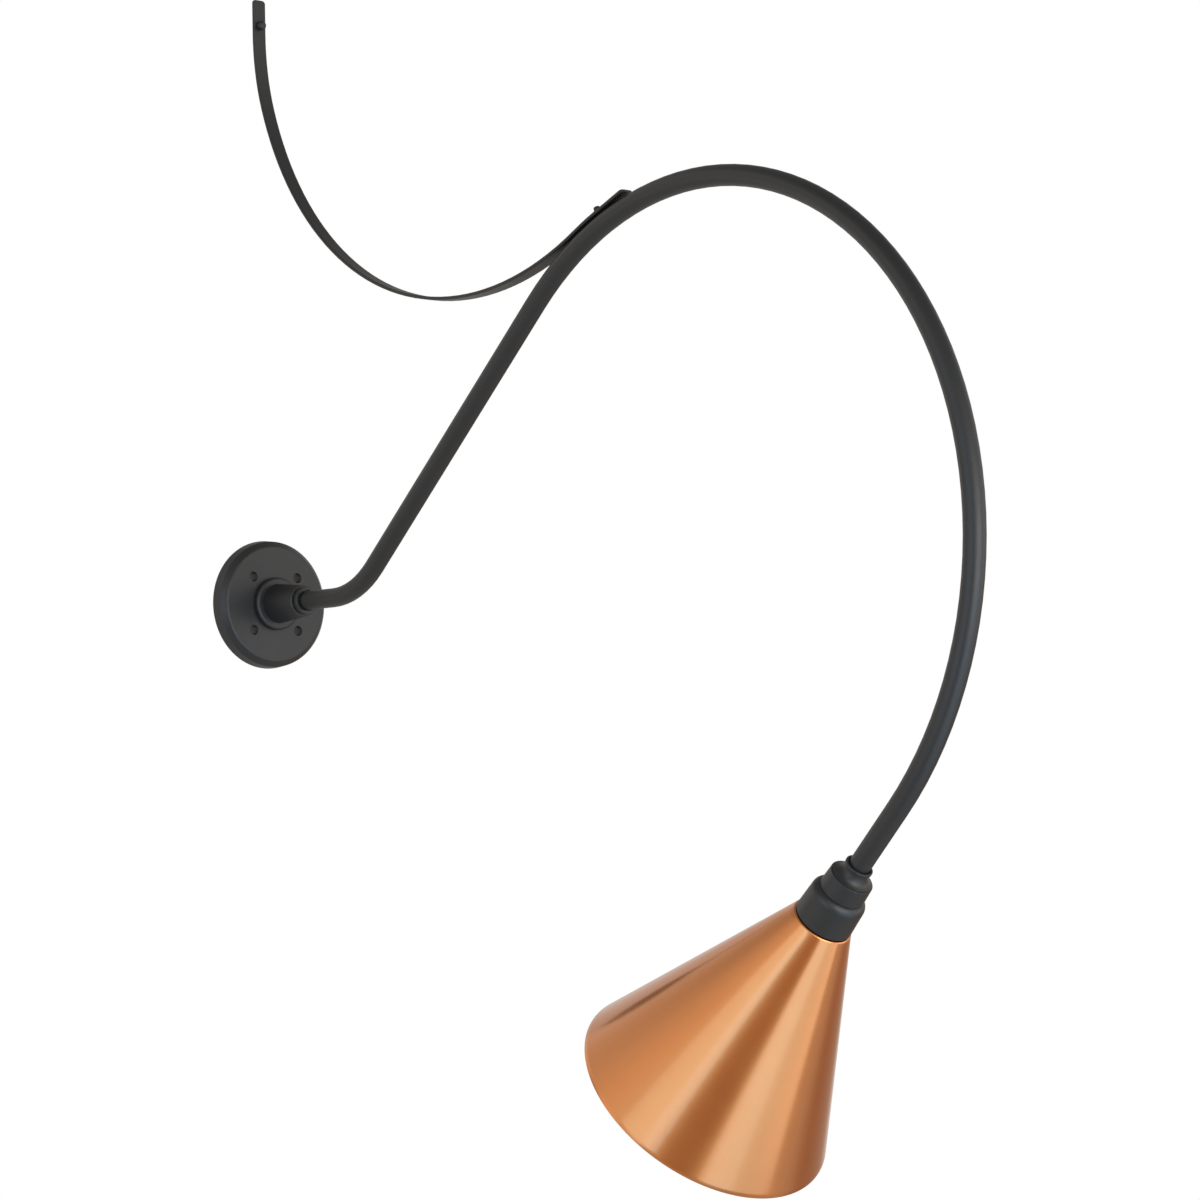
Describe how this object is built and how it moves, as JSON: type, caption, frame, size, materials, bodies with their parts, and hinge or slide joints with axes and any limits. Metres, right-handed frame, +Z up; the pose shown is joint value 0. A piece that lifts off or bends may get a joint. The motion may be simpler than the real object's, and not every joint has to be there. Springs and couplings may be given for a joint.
{
  "type": "gooseneck barn light",
  "caption": "Wall barn light: round plate, bent gooseneck pipe with a flat curved brace, stepped black neck and a copper cone shade over a screw-in bulb.",
  "frame": {"origin": "on the wall plane at the hub's axis, the centre of the plate's fixing holes", "axes": "+X out of the wall, +Z up, Y along the wall"},
  "size_m": [1.1075, 0.261, 1.3079],
  "materials": {
    "black_coat": "satin powder coat",
    "copper": "satin spun copper",
    "zinc": "zinc plated",
    "brass": "bright",
    "nickel": "nickel plated",
    "solder": "dull solder",
    "bare_copper": "bare wire",
    "green_screw": "green dyed",
    "gasket": "matte",
    "bushing": "matte",
    "black_insulation": "smooth",
    "white_insulation": "smooth",
    "porcelain": "glazed ceramic",
    "bulb_white": "smooth",
    "opal": "opal diffuser"
  },
  "bodies": {
    "fixture": {"wall_plate": "black_coat", "plate_gasket": "gasket", "ground_screw": "green_screw", "hub": "black_coat", "hub_locknut": "zinc", "hub_set_screw": "black_coat", "lead_bushing": "bushing", "lead_tips": "bare_copper", "arm_pipe": "black_coat", "lead_black": "black_insulation", "lead_white": "white_insulation", "brace_strap": "black_coat", "brace_cap_nut": "black_coat", "brace_bolt": "black_coat", "pipe_coupling": "black_coat", "neck_collar": "black_coat", "neck_set_screw": "black_coat", "socket_cup": "black_coat", "nipple": "zinc", "nipple_locknut": "zinc", "holder_bracket": "zinc", "holder_screws": "zinc", "lamp_holder": "porcelain", "screw_shell": "brass", "centre_contact": "brass", "shade_gasket": "gasket", "shade": "copper", "shade_ring": "black_coat"},
    "bulb_contact": {"bulb_contact": "solder"},
    "bulb": {"bulb_base": "nickel", "bulb_insulator": "black_insulation", "bulb_housing": "bulb_white", "bulb_globe": "opal"}
  },
  "joints": [
    {"name": "bulb_travel", "type": "slide", "parent": "fixture", "child": "bulb_contact", "axis": [-0.7003, 0, -0.7139], "range_m": [0, 0.01451]},
    {"name": "bulb_turn", "type": "hinge", "parent": "bulb_contact", "child": "bulb", "pos_m": [0.9007, 0, -0.33937], "axis": [-0.7003, 0, -0.7139], "range_deg": [0, 1443]}
  ],
  "couplings": [
    {"joint": "bulb_turn", "follows": "bulb_travel", "rad_per_m": 1731.6}
  ]
}
